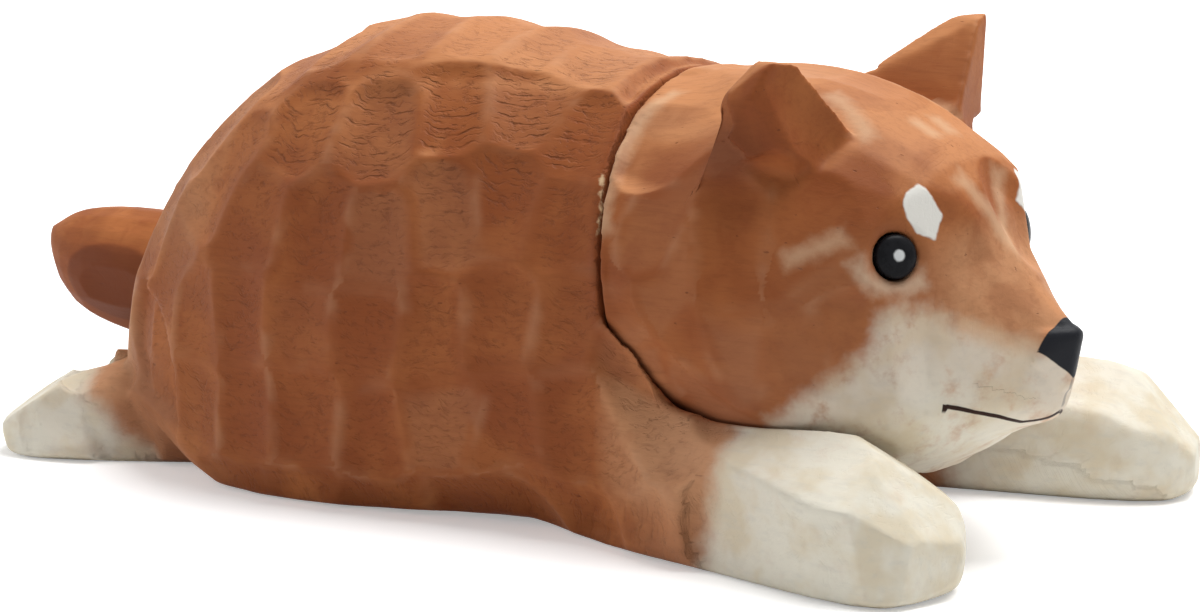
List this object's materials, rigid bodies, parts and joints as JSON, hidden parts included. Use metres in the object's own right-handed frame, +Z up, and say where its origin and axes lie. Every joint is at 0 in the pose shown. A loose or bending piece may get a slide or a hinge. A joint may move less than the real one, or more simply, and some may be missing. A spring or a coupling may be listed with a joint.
{
  "type": "carved wooden dog figurine",
  "caption": "Hand-carved wooden dog lying on its belly, forelegs stretched out in front, with a separate head glued on at the neck, pricked ears and domed eye beads.",
  "frame": {"origin": "middle of the footprint's bounding box, on the surface that the figure lies on", "axes": "+X towards the dog's nose, +Y towards the dog's left, +Z up"},
  "size_m": [0.1224, 0.0612, 0.0473],
  "materials": {
    "stained_body_wood": "gouge-carved lime wood with a thin reddish-brown stain, white painted paws, satin wax",
    "stained_head_wood": "gouge-carved lime wood with a thin reddish-brown stain, white painted muzzle and brow spots, black painted nose and mouth line, satin wax",
    "stained_tail_wood": "gouge-carved lime wood with a thin reddish-brown stain, satin wax",
    "bare_dowel_wood": "bare turned dowel wood",
    "eye_bead": "glossy black domed bead with a small white painted dot"
  },
  "bodies": {
    "root": {"body_block": "stained_body_wood", "head_block": "stained_head_wood", "tail_block": "stained_tail_wood", "neck_dowel": "bare_dowel_wood", "tail_dowel": "bare_dowel_wood", "eye_right": "eye_bead", "eye_left": "eye_bead"}
  },
  "joints": []
}
